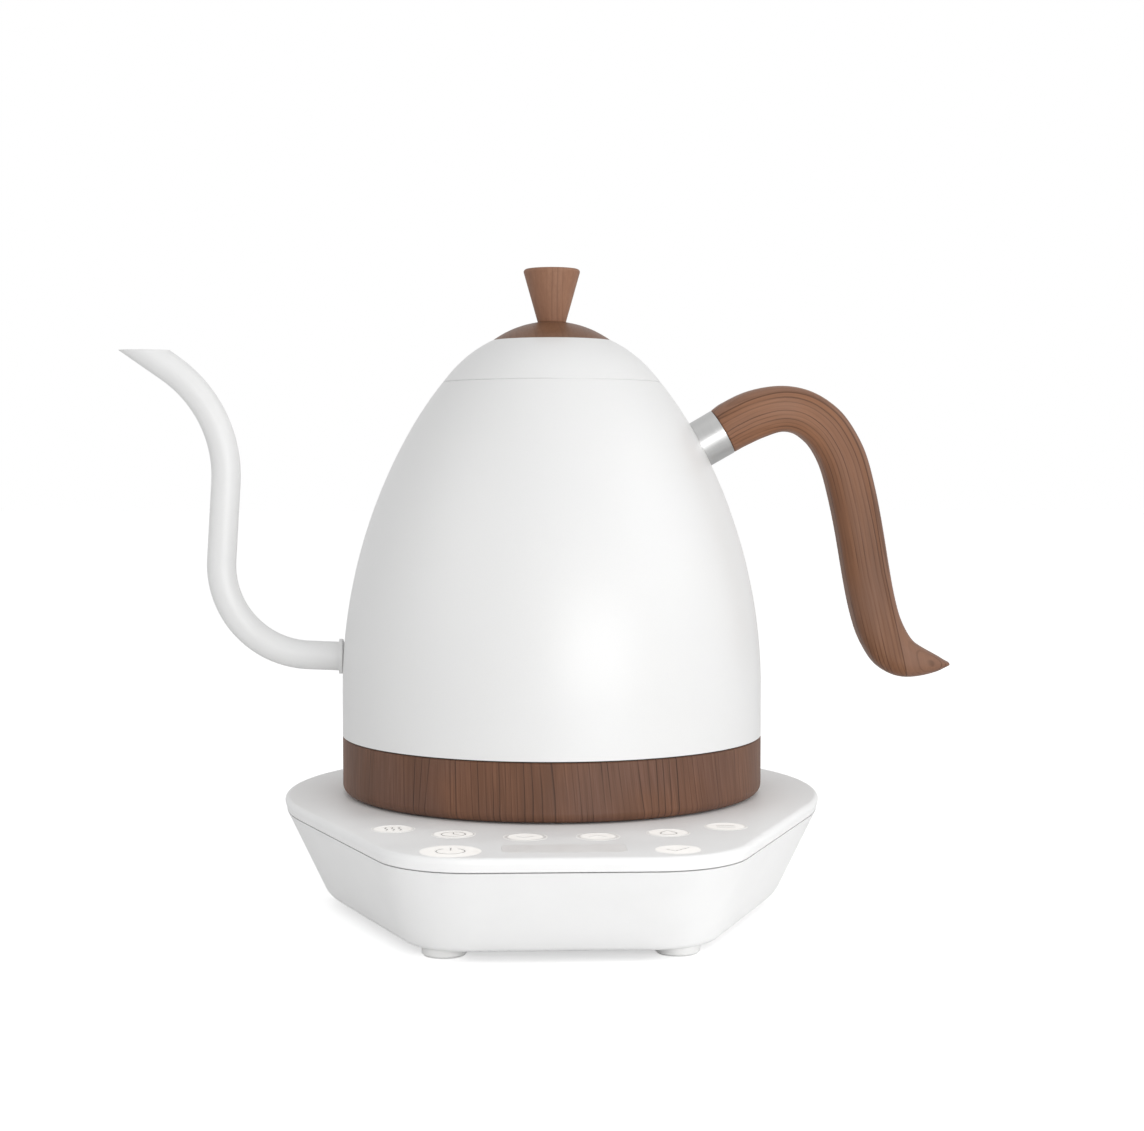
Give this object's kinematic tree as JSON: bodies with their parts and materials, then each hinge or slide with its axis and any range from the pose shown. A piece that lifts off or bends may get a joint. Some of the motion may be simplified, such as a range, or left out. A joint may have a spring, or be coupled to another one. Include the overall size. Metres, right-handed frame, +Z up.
{
  "type": "electric gooseneck kettle",
  "caption": "Egg-shaped electric pour-over kettle with a thin gooseneck spout, curved wood handle and lift-off lid, standing on a powered base with a flush touch panel.",
  "frame": {"origin": "on the floor under the kettle's own axis, which is also the axis of the round connector", "axes": "+Z up along the kettle's axis, +X towards the handle with the spout towards -X, -Y towards the control panel at the front of the base"},
  "size_m": [0.2955, 0.2244, 0.2241],
  "materials": {
    "white_paint": "satin",
    "base_plastic": "satin",
    "band_wood": "satin dark wood grain",
    "handle_wood": "satin walnut grain",
    "knob_wood": "satin walnut grain",
    "cap_wood": "satin walnut grain, darker",
    "ferrule_chrome": "polished",
    "dark_seal": "matt",
    "pale_silicone": "matt",
    "steel": "brushed",
    "spreader_aluminium": "milled",
    "black_plastic": "matt",
    "contact_brass": "polished",
    "icon_glow": "flush translucent discs",
    "display_glass": "flush translucent window",
    "board_green": "solder mask",
    "ribbon_grey": "matt",
    "foot_rubber": "matt"
  },
  "bodies": {
    "base": {"base_cover": "base_plastic", "base_housing": "base_plastic", "touch_icons": "icon_glow", "display_window": "display_glass", "control_board": "board_green", "buzzer": "black_plastic", "display_module": "black_plastic", "base_feet": "foot_rubber", "base_screws": "steel", "base_connector": "black_plastic", "base_contacts": "contact_brass", "power_board": "board_green", "power_parts": "black_plastic", "board_spacers": "base_plastic", "ribbon_cable": "ribbon_grey", "cord_gland": "black_plastic"},
    "connector": {"kettle_connector": "black_plastic", "socket_rings": "contact_brass"},
    "kettle": {"kettle_body_shell": "white_paint", "foot_band": "band_wood", "band_seal": "dark_seal", "vessel_floor": "steel", "heat_spreader": "spreader_aluminium", "heating_element": "steel", "dry_boil_cutouts": "black_plastic", "sensor_seal": "pale_silicone", "temperature_sensor": "steel", "underside_cover": "black_plastic", "underside_screws": "steel", "spout_tube": "white_paint", "spout_collar": "white_paint", "handle_ferrule": "ferrule_chrome", "handle_stud": "steel", "handle_grip": "handle_wood"},
    "lid": {"lid_shell": "white_paint", "lid_cap": "cap_wood", "lid_knob": "knob_wood", "knob_screw": "steel", "lid_liner": "steel", "lid_gasket": "pale_silicone"}
  },
  "joints": [
    {"name": "kettle_lift", "type": "slide", "parent": "base", "child": "connector", "axis": [0, 0, 1], "range_m": [0, 0.12]},
    {"name": "kettle_swivel", "type": "hinge", "parent": "connector", "child": "kettle", "pos_m": [0, 0, 0.045], "axis": [0, 0, 1], "continuous": true},
    {"name": "lid_lift", "type": "slide", "parent": "kettle", "child": "lid", "axis": [0, 0, 1], "range_m": [0, 0.07]}
  ]
}
